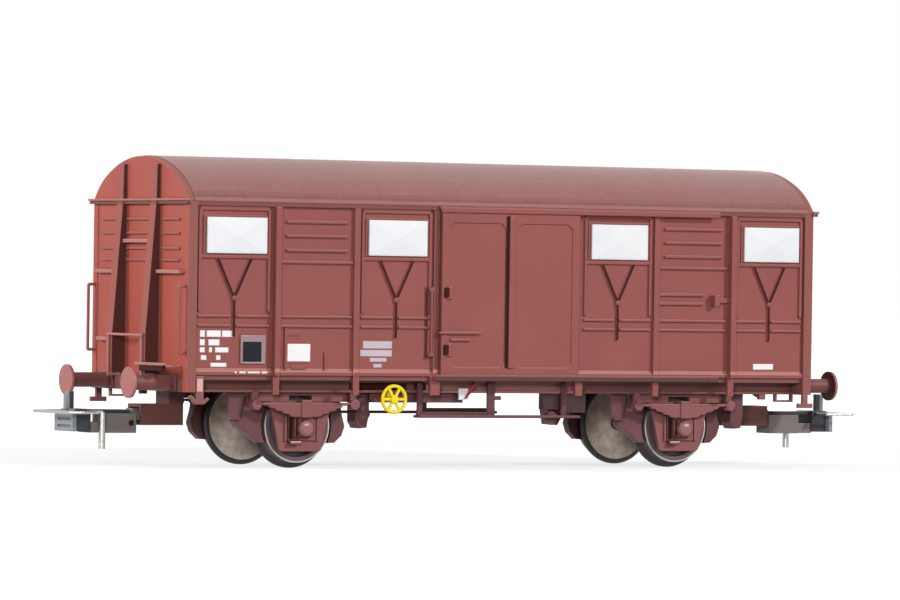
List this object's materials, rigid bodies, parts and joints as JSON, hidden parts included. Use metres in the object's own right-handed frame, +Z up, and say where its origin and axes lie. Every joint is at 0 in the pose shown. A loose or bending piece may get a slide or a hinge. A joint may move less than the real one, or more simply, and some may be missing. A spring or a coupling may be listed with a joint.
{
  "type": "toy railroad boxcar",
  "caption": "Two-axle covered goods van for a model railway, red-brown with a curved roof, white vents, sliding doors, spoked hand wheels and loop couplings.",
  "frame": {"origin": "under the middle of the van, level with the lowest point of the wheel flanges", "axes": "+X along the track towards the right end, +Y towards the back side, +Z up"},
  "size_m": [0.1366, 0.0324, 0.0456],
  "materials": {
    "body_plastic": "satin",
    "roof_paint": "satin",
    "frame_plastic": "satin",
    "vent_plastic": "satin",
    "white_paint": "satin",
    "yellow_paint": "satin",
    "red_paint": "satin",
    "grey_plastic": "matte",
    "dark_plastic": "satin",
    "bright_metal": "satin",
    "dark_metal": "satin",
    "wheel_metal": "satin",
    "steel": "satin"
  },
  "bodies": {
    "van": {"roof": "roof_paint", "load_floor": "frame_plastic", "ballast_plate": "steel", "floor_pan": "frame_plastic", "brake_boxes": "frame_plastic", "side_wall_front": "body_plastic", "side_wall_back": "body_plastic", "vent_flaps_front": "vent_plastic", "vent_flaps_back": "vent_plastic", "solebar_front": "frame_plastic", "solebar_back": "frame_plastic", "leaf_springs_front": "frame_plastic", "leaf_springs_back": "frame_plastic", "axle_boxes_front": "frame_plastic", "axle_boxes_back": "frame_plastic", "step_board_front": "frame_plastic", "step_board_back": "frame_plastic", "hand_wheel_front": "yellow_paint", "hand_wheel_back": "yellow_paint", "brake_plate_front": "white_paint", "brake_plate_back": "white_paint", "brake_lever_front": "red_paint", "brake_lever_back": "red_paint", "corner_steps_front": "frame_plastic", "corner_steps_back": "frame_plastic", "door_track_front": "body_plastic", "door_track_back": "body_plastic", "lock_rod_front": "body_plastic", "lock_rod_back": "body_plastic", "end_wall_left": "body_plastic", "end_wall_right": "body_plastic", "headstock_left": "frame_plastic", "headstock_right": "frame_plastic", "brake_gear_left": "frame_plastic", "brake_gear_right": "frame_plastic", "end_rails_left": "body_plastic", "end_rails_right": "body_plastic", "coupler_pocket_left": "frame_plastic", "coupler_pocket_right": "frame_plastic", "buffer_left_front": "frame_plastic", "axle_guard_left_front": "frame_plastic", "buffer_left_back": "frame_plastic", "axle_guard_left_back": "frame_plastic", "buffer_right_front": "frame_plastic", "axle_guard_right_front": "frame_plastic", "buffer_right_back": "frame_plastic", "axle_guard_right_back": "frame_plastic"},
    "sliding_door_front": {"door_front": "body_plastic"},
    "sliding_door_back": {"door_back": "body_plastic"},
    "coupling_left": {"coupler_left": "grey_plastic", "coupler_head_left": "dark_plastic"},
    "coupling_right": {"coupler_right": "grey_plastic", "coupler_head_right": "dark_plastic"},
    "bow_left": {"loop_left": "bright_metal"},
    "bow_right": {"loop_right": "bright_metal"},
    "wheelset_left": {"axle_left": "dark_metal", "wheels_left": "wheel_metal"},
    "wheelset_right": {"axle_right": "dark_metal", "wheels_right": "wheel_metal"}
  },
  "joints": [
    {"name": "wheelset_left_spin", "type": "hinge", "parent": "van", "child": "wheelset_left", "pos_m": [-0.03275, 0, 0.00625], "axis": [0, 1, 0], "continuous": true},
    {"name": "coupling_left_swing", "type": "hinge", "parent": "van", "child": "coupling_left", "pos_m": [-0.0516, 0, 0.008], "axis": [0, 0, 1], "range_deg": [-10, 10]},
    {"name": "bow_left_lift", "type": "hinge", "parent": "coupling_left", "child": "bow_left", "pos_m": [-0.0634, 0, 0.008], "axis": [0, 1, 0], "range_deg": [0, 20]},
    {"name": "wheelset_right_spin", "type": "hinge", "parent": "van", "child": "wheelset_right", "pos_m": [0.03275, 0, 0.00625], "axis": [0, 1, 0], "continuous": true},
    {"name": "coupling_right_swing", "type": "hinge", "parent": "van", "child": "coupling_right", "pos_m": [0.0516, 0, 0.008], "axis": [0, 0, 1], "range_deg": [-10, 10]},
    {"name": "bow_right_lift", "type": "hinge", "parent": "coupling_right", "child": "bow_right", "pos_m": [0.0634, 0, 0.008], "axis": [0, -1, 0], "range_deg": [0, 20]},
    {"name": "door_front_slide", "type": "slide", "parent": "van", "child": "sliding_door_front", "axis": [1, 0, 0], "range_m": [0, 0.0235]},
    {"name": "door_back_slide", "type": "slide", "parent": "van", "child": "sliding_door_back", "axis": [-1, 0, 0], "range_m": [0, 0.0235]}
  ]
}
